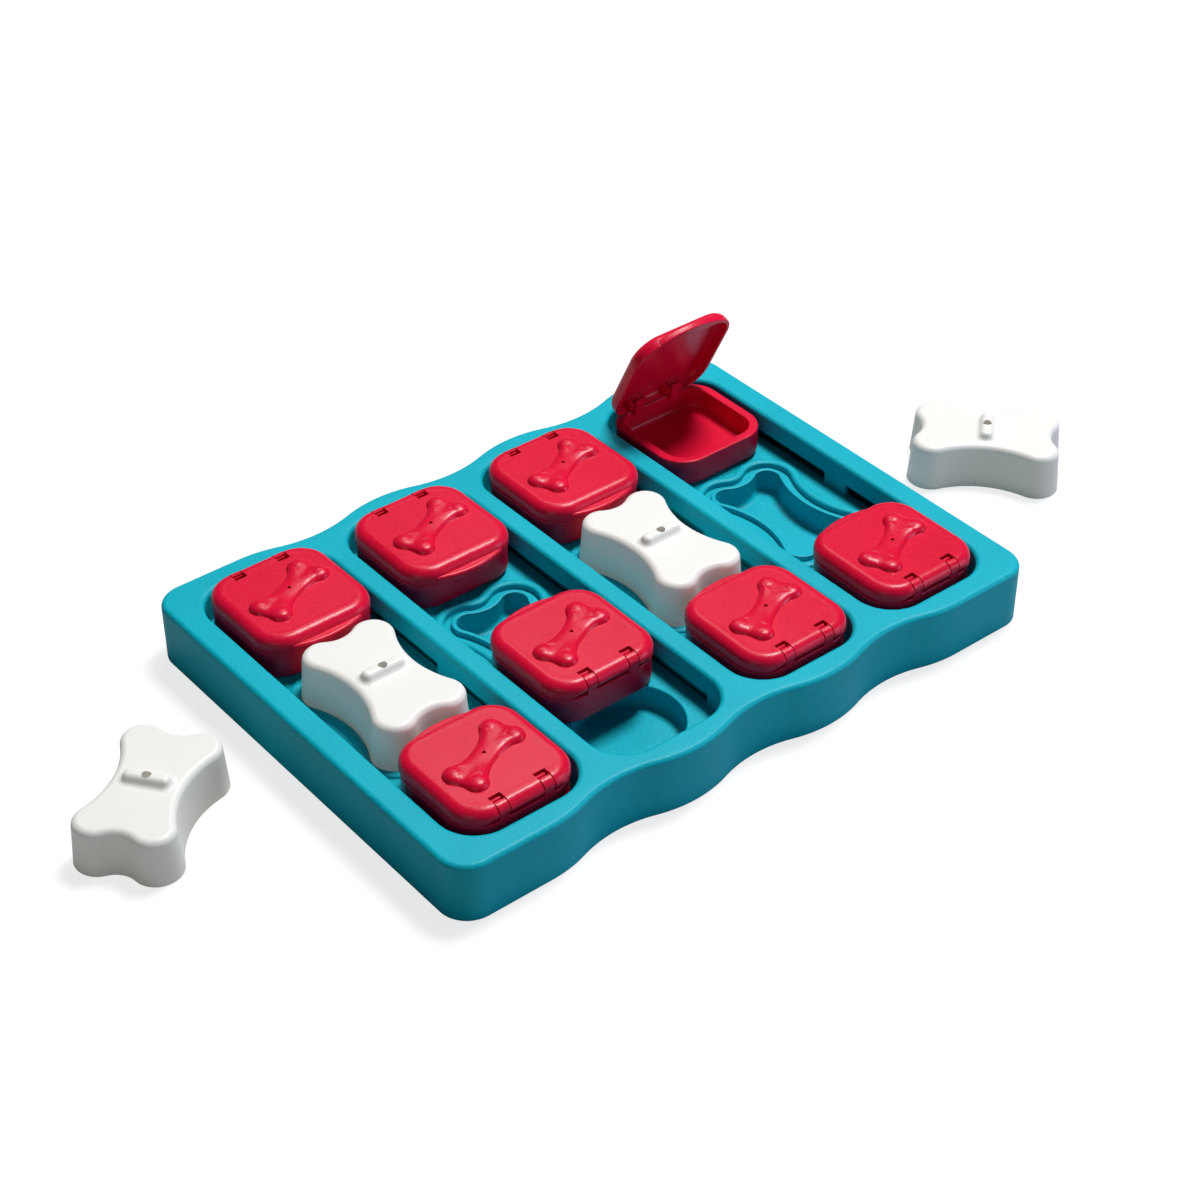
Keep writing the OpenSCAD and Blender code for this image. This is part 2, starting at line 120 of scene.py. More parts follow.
world = bpy.data.worlds.new("studio")
scene.world = world
world.use_nodes = True
world.node_tree.nodes.clear()
ray = add_node(world, "ShaderNodeLightPath").outputs
seen = add_node(
    world, "ShaderNodeMath", {0: ray["Is Camera Ray"], 1: ray["Is Transmission Ray"]}, operation="MAXIMUM",
)
room = add_node(world, "ShaderNodeBackground", Color=colour("#e6f0ff"), Strength=0.06)
plain = add_node(world, "ShaderNodeBackground", Color=colour("#ffffff"), Strength=1.0)
mixed = add_node(world, "ShaderNodeMixShader", {0: seen.outputs[0], 1: room.outputs[0], 2: plain.outputs[0]})
add_node(world, "ShaderNodeOutputWorld", Surface=mixed.outputs[0])

# The floor glows a little, so that only shadows make it grey, and more with
# distance, so that it runs into the white round it.
floor_mesh = bmesh.new()
bmesh.ops.create_grid(floor_mesh, x_segments=1, y_segments=1, size=6)
floor_data = bpy.data.meshes.new("floor")
floor_mesh.to_mesh(floor_data)
floor_mesh.free()
floor = bpy.data.objects.new("floor", floor_data)
scene.collection.objects.link(floor)
pale_floor = bpy.data.materials.new("pale_floor")
pale_floor.use_nodes = True
pale_floor.node_tree.nodes.clear()
floor_place = add_node(pale_floor, "ShaderNodeTexCoord").outputs["Object"]
floor_away = add_node(pale_floor, "ShaderNodeVectorMath", {0: floor_place}, operation="LENGTH")
floor_fade = add_node(
    pale_floor, "ShaderNodeMapRange", interpolation_type="SMOOTHSTEP", Value=floor_away.outputs["Value"],
    From_Min=0.6, From_Max=1.6, To_Min=0.77, To_Max=1.0,
)
floor_glow = add_node(
    pale_floor, "ShaderNodeEmission", Color=colour("#ffffff"), Strength=floor_fade.outputs[0],
)
floor_seen = add_node(pale_floor, "ShaderNodeBsdfDiffuse", Color=colour("#8e8e8e"))
floor_add = add_node(pale_floor, "ShaderNodeAddShader", {0: floor_seen.outputs[0], 1: floor_glow.outputs[0]})
floor_bounce = add_node(pale_floor, "ShaderNodeBsdfDiffuse", Color=colour("#a8a8a8"))
floor_ray = add_node(pale_floor, "ShaderNodeLightPath").outputs["Is Camera Ray"]
floor_mix = add_node(
    pale_floor, "ShaderNodeMixShader", {0: floor_ray, 1: floor_bounce.outputs[0], 2: floor_add.outputs[0]},
)
add_node(pale_floor, "ShaderNodeOutputMaterial", Surface=floor_mix.outputs[0])
floor_data.materials.append(pale_floor)


# Board: one injection moulding in teal ABS, open underneath, with four sunk
# tracks. Each track has two round treat pockets, a bone-shaped pocket in its
# middle, and guide slots at the foot of its long walls.

BOARD_LEN, BOARD_WID, BOARD_H = 324, 231, 30
BOARD_CORNER, BOARD_EDGE, BOARD_WALL, BOARD_FOOT, DECK_T = 14, 2.5, 3, 0.6, 2.6
SCALLOP = 6.2
PITCH, END_LAND, TRACK_DEPTH = 77.2, 12.5, 15.2
TRACK_W, TRACK_CORNER, TRACK_EDGE, TRACK_FOOT = 66, 18, 2.4, 0.5
TRACK_LEN = BOARD_WID - 2 * END_LAND
TRACKS = {track: (track - 2.5) * PITCH for track in (1, 2, 3, 4)}
FLOOR_Z, SKIN = BOARD_H - TRACK_DEPTH, 2.2
POCKET_R, POCKET_EDGE, POCKET_FOOT, POCKET_DEPTH = 24.5, 0.9, 3, 11
POCKET_Z = FLOOR_Z - POCKET_DEPTH
BOX_L, BOX_END_GAP = 57, 3.25
BOX_HOME = TRACK_LEN / 2 - BOX_END_GAP - BOX_L / 2
TAB_L, TAB_REACH, TAB_PLAY = 24, 1.8, 0.3
TAB_X = TRACK_W / 2 + TAB_REACH
SLOT_H, SLOT_GAP, SLOT_IN, SLOT_SINK = 5.2, 14.4, 1.0, 0.8
SLOT_END = BOX_HOME + TAB_L / 2 + 2 * TAB_PLAY
SLOT_X = TAB_X + 2 * TAB_PLAY
LIP_H, LIP_W, BEAD_H, BEAD_W = 0.8, 2.3, 1.35, 4.4
GROOVE, GROOVE_OUT, GROOVE_IN = 1.8, 2.0, -1.4
LOBE_X, LOBE_Y, LOBE_R, WAIST_X, WAIST_Y = 12.6, 25.8, 9.8, 16, 31.8
RIB_T, LOW_RIB_H, RIB_ROOT = 2, 7, 0.3
SAME_POINT, SHARP_TURN = 0.02, 32
# How far a shape reaches past a face that it cuts or crosses, and how deep a
# joined one is sunk in its neighbour.
PAST, ROOT = 1, 0.5


def round_rectangle(x, y, len_x, len_y, r):
    """A plan: its arcs in order, each as centre, radius, first and last angle,
    and 1 where it curves out or -1 where it curves in."""
    a, b = len_x / 2 - r, len_y / 2 - r
    corners = ((a, b, 0), (-a, b, 90), (-a, -b, 180), (a, -b, 270))
    return [(x + cx, y + cy, r, turn, turn + 90, 1) for cx, cy, turn in corners]


def round_plan(x, y, r):
    """The plan of a circle."""
    return [(x, y, r, turn, turn + 90, 1) for turn in (0, 90, 180, 270)]


def bone_outline(x, y):
    """The plan of a bone: four lobes joined by arcs that curve in."""
    side_r = ((LOBE_X - WAIST_X) ** 2 + LOBE_Y**2 - LOBE_R**2) / (2 * (LOBE_R + LOBE_X - WAIST_X))
    end_r = ((LOBE_Y - WAIST_Y) ** 2 + LOBE_X**2 - LOBE_R**2) / (2 * (LOBE_R + LOBE_Y - WAIST_Y))
    side_x, end_y = WAIST_X + side_r, WAIST_Y + end_r
    side = math.degrees(math.atan2(LOBE_Y, side_x - LOBE_X))
    end = math.degrees(math.atan2(LOBE_X, end_y - LOBE_Y))
    return [
        (x + side_x, y, side_r, 180 + side, 180 - side, -1),
        (x + LOBE_X, y + LOBE_Y, LOBE_R, -side, 90 + end, 1),
        (x, y + end_y, end_r, 270 + end, 270 - end, -1),
        (x - LOBE_X, y + LOBE_Y, LOBE_R, 90 - end, 180 + side, 1),
        (x - side_x, y, side_r, side, -side, -1),
        (x - LOBE_X, y - LOBE_Y, LOBE_R, 180 - side, 270 + end, 1),
        (x, y - end_y, end_r, 90 + end, 90 - end, -1),
        (x + LOBE_X, y - LOBE_Y, LOBE_R, 270 - end, 360 + side, 1),
    ]


def board_outline():
    """The board's plan: round corners, and three hollows in each long side."""
    bend_r = ((PITCH / 4) ** 2 + (SCALLOP / 2) ** 2) / SCALLOP
    bend_turn = math.degrees(math.asin(PITCH / 4 / bend_r))
    out_y = BOARD_WID / 2 - bend_r
    in_y = BOARD_WID / 2 - SCALLOP + bend_r
    a, b = BOARD_LEN / 2 - BOARD_CORNER, BOARD_WID / 2 - BOARD_CORNER
    arcs = []
    for side in (-1, 1):
        base = 270 if side < 0 else 90
        arcs.append((side * a, side * b, BOARD_CORNER, base - 90, base, 1))
        arcs.append((side * 1.5 * PITCH, side * out_y, bend_r, base, base + bend_turn, 1))
        for step in (1, 0, -1):
            x = side * step * PITCH
            arcs.append((x, side * in_y, bend_r, base - 180 + bend_turn, base - 180 - bend_turn, -1))
            last = base if step < 0 else base + bend_turn
            arcs.append((x - side * PITCH / 2, side * out_y, bend_r, base - bend_turn, last, 1))
        arcs.append((-side * a, side * b, BOARD_CORNER, base, base + 90, 1))
    return arcs


def loft(bm, plan, profile, fine=1.6):
    """A wall round a plan. One edge loop is drawn and extruded along the
    profile, a list of grow and height. Returns its first and last loops."""
    way = []
    for cx, cy, r, first, last, bend in plan:
        steps = max(4, round(math.radians(abs(last - first)) * r / fine))
        turns = [math.radians(first + (last - first) * step / steps) for step in range(steps + 1)]
        rays = [(math.cos(turn), math.sin(turn)) for turn in turns]
        arc = [(cx + r * out_x, cy + r * out_y, bend * out_x, bend * out_y) for out_x, out_y in rays]
        if way and math.dist(way[-1][:2], arc[0][:2]) < SAME_POINT:
            way.pop()
        way += arc
    if math.dist(way[-1][:2], way[0][:2]) < SAME_POINT:
        way.pop()
    grow, z = profile[0]
    verts = [bm.verts.new((x + grow * out_x, y + grow * out_y, z)) for x, y, out_x, out_y in way]
    ways = dict(zip(verts, way))
    first = loop = [bm.edges.new(pair) for pair in zip(verts, verts[1:] + verts[:1])]
    for grow, z in profile[1:]:
        made = bmesh.ops.extrude_edge_only(bm, edges=loop)["geom"]
        loop = [item for item in made if isinstance(item, bmesh.types.BMEdge)]
        moved = {}
        for vert in [item for item in made if isinstance(item, bmesh.types.BMVert)]:
            below = [edge.other_vert(vert) for edge in vert.link_edges]
            x, y, out_x, out_y = moved[vert] = next(ways[other] for other in below if other in ways)
            vert.co = (x + grow * out_x, y + grow * out_y, z)
        ways = moved
    return first, loop


def fillet(grow, z, r, first, last, steps=5):
    """Profile points on a quarter or less of a circle about grow and z."""
    turns = [math.radians(first + (last - first) * k / steps) for k in range(steps + 1)]
    return [(grow + r * math.cos(t), z + r * math.sin(t)) for t in turns]


def cap(bm, edges):
    """Closes one loop with a face."""
    bmesh.ops.contextual_create(bm, geom=edges)


def carve(bm, tool, operation="DIFFERENCE", overlapping=False):
    """The shape less the tool, or joined with it, as a new bmesh."""
    bmesh.ops.recalc_face_normals(tool, faces=tool.faces)
    work = []
    for part in (bm, tool):
        mesh = bpy.data.meshes.new("work")
        part.to_mesh(mesh)
        part.free()
        work.append(bpy.data.objects.new("work", mesh))
        scene.collection.objects.link(work[-1])
    step = work[0].modifiers.new("carve", "BOOLEAN")
    step.operation = operation
    step.object = work[1]
    step.solver = "EXACT"
    step.use_self = overlapping
    bpy.context.view_layer.update()
    done = bmesh.new()
    done.from_object(work[0], bpy.context.evaluated_depsgraph_get())
    for part in work:
        mesh = part.data
        bpy.data.objects.remove(part)
        bpy.data.meshes.remove(mesh)
    return done


def block(bm, low, high):
    """A plain block between two corners, added to bm."""
    made = bmesh.ops.create_cube(bm, size=1)["verts"]
    size = [h - l for l, h in zip(low, high)]
    bmesh.ops.scale(bm, vec=size, verts=made)
    bmesh.ops.translate(bm, vec=[(l + h) / 2 for l, h in zip(low, high)], verts=made)
    return made


# The spacing of the clouds of tone and of the scuffs, and a worn edge's width.
CLOUD, SCUFF, EDGE_WEAR = 38.5, 7.14, 0.7


def plastic(name, main, pale, rubbed, roughness, grain, depth, shine=0.5, painted_glow=0.0):
    """Moulded plastic: a spark-eroded grain, a slow change of tone where the
    pigment flowed, and edges rubbed paler and duller than the faces. The real
    grain of 0.1 mm is drawn coarser, so that it shows. The glow is painted
    light: a warm emission that stands in for the light that comes through a
    thin pale wall. Grain and depth are in millimetres."""
    material = bpy.data.materials.new(name)
    material.use_nodes = True
    material.node_tree.nodes.clear()
    place = add_node(material, "ShaderNodeTexCoord").outputs["Object"]
    clouds = add_node(material, "ShaderNodeTexNoise", Vector=place, Scale=1 / (CLOUD * MM), Detail=3.0)
    pits = add_node(material, "ShaderNodeTexNoise", Vector=place, Scale=1 / (grain * MM), Detail=2.0)
    scuffs = add_node(material, "ShaderNodeTexNoise", Vector=place, Scale=1 / (SCUFF * MM), Detail=4.0)
    speckle = add_node(
        material, "ShaderNodeMapRange", Value=pits.outputs["Fac"],
        From_Min=0.3, From_Max=0.7, To_Min=-0.35, To_Max=0.35,
    )
    mottle = add_node(
        material, "ShaderNodeMath", {0: clouds.outputs["Fac"], 1: speckle.outputs[0]},
        operation="ADD", use_clamp=True,
    )
    tone = add_node(
        material, "ShaderNodeMix", {0: mottle.outputs[0], 6: colour(main), 7: colour(pale)}, data_type="RGBA",
    )
    rounded = add_node(material, "ShaderNodeBevel", samples=6, Radius=EDGE_WEAR * MM)
    flat = add_node(material, "ShaderNodeNewGeometry").outputs["Normal"]
    bend = add_node(
        material, "ShaderNodeVectorMath", {0: rounded.outputs[0], 1: flat}, operation="DOT_PRODUCT",
    )
    edge = add_node(material, "ShaderNodeMapRange", Value=bend.outputs["Value"], From_Min=0.995, From_Max=0.9)
    worn = add_node(
        material, "ShaderNodeMapRange", Value=scuffs.outputs["Fac"],
        From_Min=0.35, From_Max=0.65, To_Min=0.05, To_Max=0.32,
    )
    wear = add_node(
        material, "ShaderNodeMath", {0: edge.outputs[0], 1: worn.outputs[0]}, operation="MULTIPLY",
    )
    paint = add_node(
        material, "ShaderNodeMix", {0: wear.outputs[0], 6: tone.outputs[2], 7: colour(rubbed)},
        data_type="RGBA",
    )
    rough = add_node(
        material, "ShaderNodeMapRange", Value=pits.outputs["Fac"],
        To_Min=roughness - 0.06, To_Max=roughness + 0.06,
    )
    dull = add_node(
        material, "ShaderNodeMath", {0: wear.outputs[0], 1: 0.2, 2: rough.outputs[0]},
        operation="MULTIPLY_ADD",
    )
    bump = add_node(material, "ShaderNodeBump", Strength=1.0, Distance=depth * MM, Height=pits.outputs["Fac"])
    # The emission is painted light: a warm glow that stands in for the light that a thin pale wall lets
    # through.
    shader = add_node(
        material, "ShaderNodeBsdfPrincipled", Normal=bump.outputs[0], IOR=1.5, Base_Color=paint.outputs[2],
        Roughness=dull.outputs[0], Specular_IOR_Level=shine,
        Emission_Color=colour("#fff6e4"), Emission_Strength=painted_glow,
    )
    add_node(material, "ShaderNodeOutputMaterial", Surface=shader.outputs[0])
    return material


def new_piece(name, bm, body, nodes, material):
    """Turns a finished shape, in millimetres, into a piece of the toy."""
    bmesh.ops.scale(bm, vec=(MM, MM, MM), verts=bm.verts)
    mesh = bpy.data.meshes.new(name)
    bm.to_mesh(mesh)
    bm.free()
    mesh.polygons.foreach_set("use_smooth", [True] * len(mesh.polygons))
    mesh.set_sharp_from_angle(angle=math.radians(SHARP_TURN))
    piece = bpy.data.objects.new(name, mesh)
    scene.collection.objects.link(piece)
    mesh.materials.append(material)
    even = piece.modifiers.new("even_normals", "WEIGHTED_NORMAL")
    even.keep_sharp = True
    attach(piece, body)
    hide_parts(*nodes)
    return piece


# Teal ABS from a deeply grained mould: the deck looks matt and even, with no
# sharp reflections.
teal_abs = plastic("teal_moulded_abs", "#02a3b4", "#0ab3c6", "#3fbccc", 0.44, 1.11, 0.14, shine=0.17)

board = bmesh.new()
deck_loops, under_loops = loft(board, board_outline(), [
    *fillet(-BOARD_EDGE, BOARD_H - BOARD_EDGE, BOARD_EDGE, 90, 0, 6),
    (0, BOARD_FOOT), (-BOARD_FOOT, 0), (-BOARD_WALL, 0), (-BOARD_WALL, BOARD_H - DECK_T),
])
for x in TRACKS.values():
    track = round_rectangle(x, 0, TRACK_W, TRACK_LEN, TRACK_CORNER)
    shoulder, foot = loft(board, track, [
        *fillet(TRACK_EDGE, BOARD_H - TRACK_EDGE, TRACK_EDGE, 90, 180, 5),
        *fillet(-TRACK_FOOT, FLOOR_Z + TRACK_FOOT, TRACK_FOOT, 0, -90, 3),
    ])
    deck_loops += shoulder
    floor_loops = list(foot)
    tub_top, tub_foot = loft(board, track, [(SKIN, BOARD_H - DECK_T), (SKIN, FLOOR_Z - SKIN)])
    under_loops += tub_top
    tub_loops = list(tub_foot)
    for y in (-BOX_HOME, BOX_HOME):
        pocket = round_plan(x, y, POCKET_R)
        mouth, bottom = loft(board, pocket, [
            *fillet(POCKET_EDGE, FLOOR_Z - POCKET_EDGE, POCKET_EDGE, 90, 180, 4),
            *fillet(-POCKET_FOOT, POCKET_Z + POCKET_FOOT, POCKET_FOOT, 0, -90, 5),
        ])
        cap(board, bottom)
        floor_loops += mouth
        well_top, well_foot = loft(board, pocket, [(SKIN, FLOOR_Z - SKIN), (SKIN, POCKET_Z - SKIN)])
        cap(board, well_foot)
        tub_loops += well_top
    # The bone pocket, from outside in: a half-round bead, the groove that a
    # bone block stands in, and a lip with soft edges round the pocket.
    lip_in = GROOVE_IN - LIP_W
    lip_top = FLOOR_Z + LIP_H
    turns = [math.radians(15 * step) for step in range(12)]
    arch = [(GROOVE_OUT + BEAD_W / 2 * (1 + math.cos(t)), FLOOR_Z + BEAD_H * math.sin(t)) for t in turns]
    bead, bottom = loft(board, bone_outline(x, 0), [
        *arch,
        (GROOVE_OUT, FLOOR_Z - GROOVE),
        (GROOVE_IN, FLOOR_Z - GROOVE),
        (GROOVE_IN, lip_top - 0.5),
        (GROOVE_IN - 0.2, lip_top - 0.15),
        (GROOVE_IN - 0.6, lip_top),
        (lip_in + 0.7, lip_top),
        (lip_in + 0.2, lip_top - 0.2),
        (lip_in, lip_top - 0.7),
        *fillet(lip_in - POCKET_FOOT, POCKET_Z + POCKET_FOOT, POCKET_FOOT, 0, -90, 5),
    ])
    cap(board, bottom)
    floor_loops += bead
    well_top, well_foot = loft(board, bone_outline(x, 0), [
        (GROOVE_OUT + SKIN, FLOOR_Z - SKIN),
        (GROOVE_OUT + SKIN, FLOOR_Z - SKIN - GROOVE),
        (lip_in + SKIN, FLOOR_Z - SKIN - GROOVE),
        (lip_in + SKIN, POCKET_Z - SKIN),
    ])
    cap(board, well_foot)
    tub_loops += well_top
    bmesh.ops.triangle_fill(board, use_beauty=True, edges=floor_loops)
    bmesh.ops.triangle_fill(board, use_beauty=True, edges=tub_loops)
bmesh.ops.triangle_fill(board, use_beauty=True, edges=deck_loops)
bmesh.ops.triangle_fill(board, use_beauty=True, edges=under_loops)
bmesh.ops.recalc_face_normals(board, faces=board.faces)

slots = bmesh.new()
for x in TRACKS.values():
    for side in (-1, 1):
        for end in (-1, 1):
            across = sorted((x + side * (TRACK_W / 2 - SLOT_IN), x + side * SLOT_X))
            along = sorted((end * SLOT_GAP / 2, end * SLOT_END))
            block(slots, (across[0], along[0], FLOOR_Z - SLOT_SINK), (across[1], along[1], FLOOR_Z + SLOT_H))
board = carve(board, slots)

long_half = BOARD_WID / 2 - SCALLOP - BOARD_WALL
for step in (-1, 0, 1):
    x = step * PITCH
    low = (x - RIB_T / 2, -long_half, 0)
    block(board, low, (x + RIB_T / 2, long_half, BOARD_H - DECK_T + RIB_ROOT))
rib_y = BOX_HOME - POCKET_R - SKIN - RIB_T
cross_half = BOARD_LEN / 2 - BOARD_WALL
under_half = TRACK_W / 2 + SKIN - RIB_ROOT
for side in (-1, 1):
    low_y, high_y = side * rib_y - RIB_T / 2, side * rib_y + RIB_T / 2
    block(board, (-cross_half, low_y, 0), (cross_half, high_y, LOW_RIB_H))
    for x in TRACKS.values():
        low = (x - under_half, low_y, LOW_RIB_H - PAST)
        block(board, low, (x + under_half, high_y, FLOOR_Z - SKIN + RIB_ROOT))
board_nodes = ["board", "long_ribs", "cross_ribs"]
board_nodes += [f"{part}_{track}" for part in ("track", "wells") for track in TRACKS]
new_piece("board_moulding", board, "board", board_nodes, teal_abs)


# Boxes: eight cups moulded in red ABS. Two tabs on each run in the track's
# slots, and two lugs on the outer edge have open eyes for the lid's hinge pins.

BOX_W, BOX_CORNER, BOX_RIM, BOX_FLOOR = 59, 15, 4.6, 2.2
BOX_FOOT, RIM_ROUND, WELL_ROUND, WELL_DRAFT = 1.2, 0.7, 3.5, 0.4
BOX_RIDE, RIM_DROP, LID_GAP = 0.7, 0.4, 0.3
BOX_Z, RIM_Z = FLOOR_Z + LIP_H + BOX_RIDE, BOARD_H - RIM_DROP
TAB_H, TAB_Z, TAB_EDGE = 3.6, FLOOR_Z + TAB_PLAY, 0.35
LID_Z, LID_H, LID_W = RIM_Z + LID_GAP, 7.5, 59
HINGE_IN, PIN_R, PIN_PLAY, SWING_GAP = 3.9, 1.5, 0.05, 0.3
HINGE_Y, HINGE_Z = LID_W / 2 - HINGE_IN, LID_Z + LID_H - HINGE_IN
LUG_X, LUG_W, LUG_GAP, MOUTH_W, MOUTH_TILT = 11.4, 5, 0.6, 1.2, 50
PLATE_IN, PLATE_UP, PLATE_DOWN, STEP_IN = 3.8, 2.4, 0.6, 0.5
FOOT_IN, FOOT_OUT, FOOT_SINK, SWING_HALF = 3.4, 3.0, 2, 27
SLID_BOX = 39.5


def rod(bm, x_from, x_to, y, z, r, sides=40):
    """A rod along X, added to bm."""
    place = Matrix.Translation(((x_from + x_to) / 2, y, z)) @ Matrix.Rotation(math.pi / 2, 4, "Y")
    bmesh.ops.create_cone(
        bm, cap_ends=True, segments=sides, radius1=r, radius2=r, depth=x_to - x_from, matrix=place,
    )


# Red ABS from a finer mould than the board's: glossier, so that the lids and
# their raised bones catch the lamps.
red_abs = plastic("red_moulded_abs", "#d20730", "#e0123c", "#e83a58", 0.3, 1.11, 0.07, shine=0.27)

box = bmesh.new()
bottom, well = loft(box, round_rectangle(0, 0, BOX_W, BOX_L, BOX_CORNER), [
    *fillet(-BOX_FOOT, BOX_Z + BOX_FOOT, BOX_FOOT, -90, 0, 4),
    *fillet(-RIM_ROUND, RIM_Z - RIM_ROUND, RIM_ROUND, 0, 90, 4),
    *fillet(RIM_ROUND - BOX_RIM, RIM_Z - RIM_ROUND, RIM_ROUND, 90, 180, 4),
    *fillet(-BOX_RIM - WELL_DRAFT - WELL_ROUND, BOX_Z + BOX_FLOOR + WELL_ROUND, WELL_ROUND, 0, -90, 6),
], 1.0)
cap(box, bottom)
cap(box, well)
bmesh.ops.recalc_face_normals(box, faces=box.faces)
swing_hollow = bmesh.new()
rod(swing_hollow, -SWING_HALF, SWING_HALF, HINGE_Y, HINGE_Z, HINGE_IN + SWING_GAP, 64)
box = carve(box, swing_hollow)
# Each lug is a round eye on a foot that grows out of the rim, with a plate
# that closes the lid's window and a mouth through which the pin snaps in.
for side in (-1, 1):
    lug = bmesh.new()
    inner, outer = side * LUG_X - LUG_W / 2, side * LUG_X + LUG_W / 2
    rod(lug, inner, outer, HINGE_Y, HINGE_Z, HINGE_IN - SWING_GAP, 48)
    step = bmesh.new()
    low = (inner - PAST, HINGE_Y - HINGE_IN - PAST, HINGE_Z + PLATE_UP)
    block(step, low, (outer + PAST, HINGE_Y - STEP_IN, HINGE_Z + HINGE_IN + PAST))
    lug = carve(lug, step)
    foot = bmesh.new()
    block(foot, (inner, HINGE_Y - PLATE_IN, HINGE_Z - PLATE_DOWN), (outer, HINGE_Y, HINGE_Z + PLATE_UP))
    block(foot, (inner, HINGE_Y - FOOT_IN, RIM_Z - FOOT_SINK), (outer, HINGE_Y + FOOT_OUT, HINGE_Z))
    lug = carve(lug, foot, "UNION", overlapping=True)
    eye = bmesh.new()
    rod(eye, inner - PAST, outer + PAST, HINGE_Y, HINGE_Z, PIN_R + PIN_PLAY, 32)
    lug = carve(lug, eye)
    mouth = bmesh.new()
    low = (inner - PAST, -HINGE_IN - PAST, -MOUTH_W / 2)
    made = block(mouth, low, (outer + PAST, 0, MOUTH_W / 2))
    tilt = Matrix.Translation((0, HINGE_Y, HINGE_Z)) @ Matrix.Rotation(math.radians(-MOUTH_TILT), 4, "X")
    bmesh.ops.transform(mouth, verts=made, matrix=tilt)
    lug = carve(lug, mouth)
    box = carve(box, lug, "UNION")
tabs = bmesh.new()
for side in (-1, 1):
    across = sorted((side * (BOX_W / 2 - ROOT), side * TAB_X))
    made = block(tabs, (across[0], -TAB_L / 2, TAB_Z), (across[1], TAB_L / 2, TAB_Z + TAB_H))
    edges = [edge for edge in tabs.edges if edge.verts[0] in made and edge.verts[1] in made]
    bmesh.ops.bevel(tabs, geom=edges, offset=TAB_EDGE, segments=2, profile=0.5, affect="EDGES", material=-1)
box = carve(box, tabs, "UNION")


def in_track(track, far, slid=0):
    """Moves a box or lid, made with its hinge on the +Y side, to its place."""
    turn = Matrix.Identity(4) if far else Matrix.Rotation(math.pi, 4, "Z")
    return Matrix.Translation((TRACKS[track], 0, 0)) @ turn @ Matrix.Translation((0, BOX_HOME - slid, 0))


PLACES = {(track, far): 0 for track in TRACKS for far in (False, True)}
PLACES[2, False] = SLID_BOX
for (track, far), slid in PLACES.items():
    copy = box.copy()
    bmesh.ops.transform(copy, verts=copy.verts, matrix=in_track(track, far, slid))
    place = f"{track}_{'far' if far else 'near'}"
    new_piece(f"sliding_box_{place}", copy, f"box_{place}", [f"box_{place}"], red_abs)
box.free()


# Lids: eight caps moulded in the boxes' red ABS, with a rounded top edge, a
# thumb lip, a raised bone with a pinhole, and two hinge pins in windows along
# the outer edge, which snap into the lugs' eyes.

LID_CORNER, LID_EDGE, LID_TOP_T, LID_SKIRT, LID_BOWL = 15, 5, 2.2, 2, 3
LID_TOP, DISH = LID_Z + LID_H, 0.1
THUMB_OUT, THUMB_W, THUMB_H, THUMB_CORNER = 3.7, 36, 3.6, 1.6
THUMB_R = (THUMB_W**2 / 4 + THUMB_OUT**2) / (2 * THUMB_OUT)
THUMB_UNDER, THUMB_OVER, THUMB_ROOT = 0.8, 1.2, 1
CHEEK_T, CHEEK_IN, CHEEK_OUT, CHEEK_UP, WINDOW_GAP = 1.8, 2.2, 2.6, 0.6, 0.5
OPEN_ANGLE, PINHOLE_R, PIN_CLEAR = 64, 0.9, 0.03
FIELD_L, FIELD_W, FIELD_EDGE, FIELD_SINK = 46, 23, 1.0, 1.8
RELIEF_H, RELIEF_END_H, RELIEF_TURN = 2.2, 3.2, 26
RELIEF_L, RELIEF_C, RELIEF_R, RELIEF_WAIST, RELIEF_FLARE = 16.2, 5.2, 5.2, 4.3, 5.6
RELIEF_BLEND, RELIEF_SIDE, RELIEF_VALLEY, VALLEY_W = 1.8, 5.6, 0.8, 2.6


def raised_bone(u, v):
    """Height of the raised bone over the lid, negative outside its outline.
    Lobes, shank and ends blend, and both ends rise to two knuckles."""
    u, v = abs(u), abs(v)
    lobe = RELIEF_R - math.hypot(u - RELIEF_L, v - RELIEF_C)
    neck = RELIEF_WAIST + RELIEF_FLARE * (min(u, RELIEF_L) / RELIEF_L) ** 1.3 - v
    shank = min(neck, RELIEF_L - 1 - u)
    end = min(RELIEF_C + 0.5 - v, RELIEF_L + RELIEF_R - 0.7 - u)
    inside = lobe
    for other in (shank, end):
        mix = max(0.0, min(1.0, 0.5 + 0.5 * (inside - other) / RELIEF_BLEND))
        inside = other + (inside - other) * mix + RELIEF_BLEND * mix * (1 - mix) * 0.6
    rise = max(0.0, min(1.0, (u - 4) / (RELIEF_L - 4)))
    rise = rise * rise * (3 - 2 * rise)
    valley = RELIEF_VALLEY * math.exp(-((v / VALLEY_W) ** 2))
    peak = RELIEF_H + (RELIEF_END_H - RELIEF_H - valley) * rise
    depth = inside / RELIEF_SIDE
    if depth < 0:
        return max(depth, -1.0) * 6
    return peak * (1 - math.exp(-3.2 * depth)) ** 0.6


# From the bowl inside, under the skirt and up over the rounded edge, to a top
# that dips a little inside a soft crest.
lid = bmesh.new()
square = round_rectangle(0, 0, LID_W, LID_W, LID_CORNER)
recess, top = loft(lid, square, [
    *fillet(-LID_SKIRT - LID_BOWL, LID_TOP - LID_TOP_T - LID_BOWL, LID_BOWL, 90, 0, 6),
    (-LID_SKIRT, LID_Z + 0.3),
    (-LID_SKIRT + 0.3, LID_Z),
    (-0.5, LID_Z),
    (0, LID_Z + 0.5),
    *fillet(-LID_EDGE, LID_TOP - LID_EDGE, LID_EDGE, 0, 84, 9),
    (-LID_EDGE - 0.6, LID_TOP - 0.04),
    (-LID_EDGE - 1.4, LID_TOP - DISH + 0.03),
    (-LID_EDGE - 2.2, LID_TOP - DISH),
], 1.0)
cap(lid, recess)
cap(lid, top)
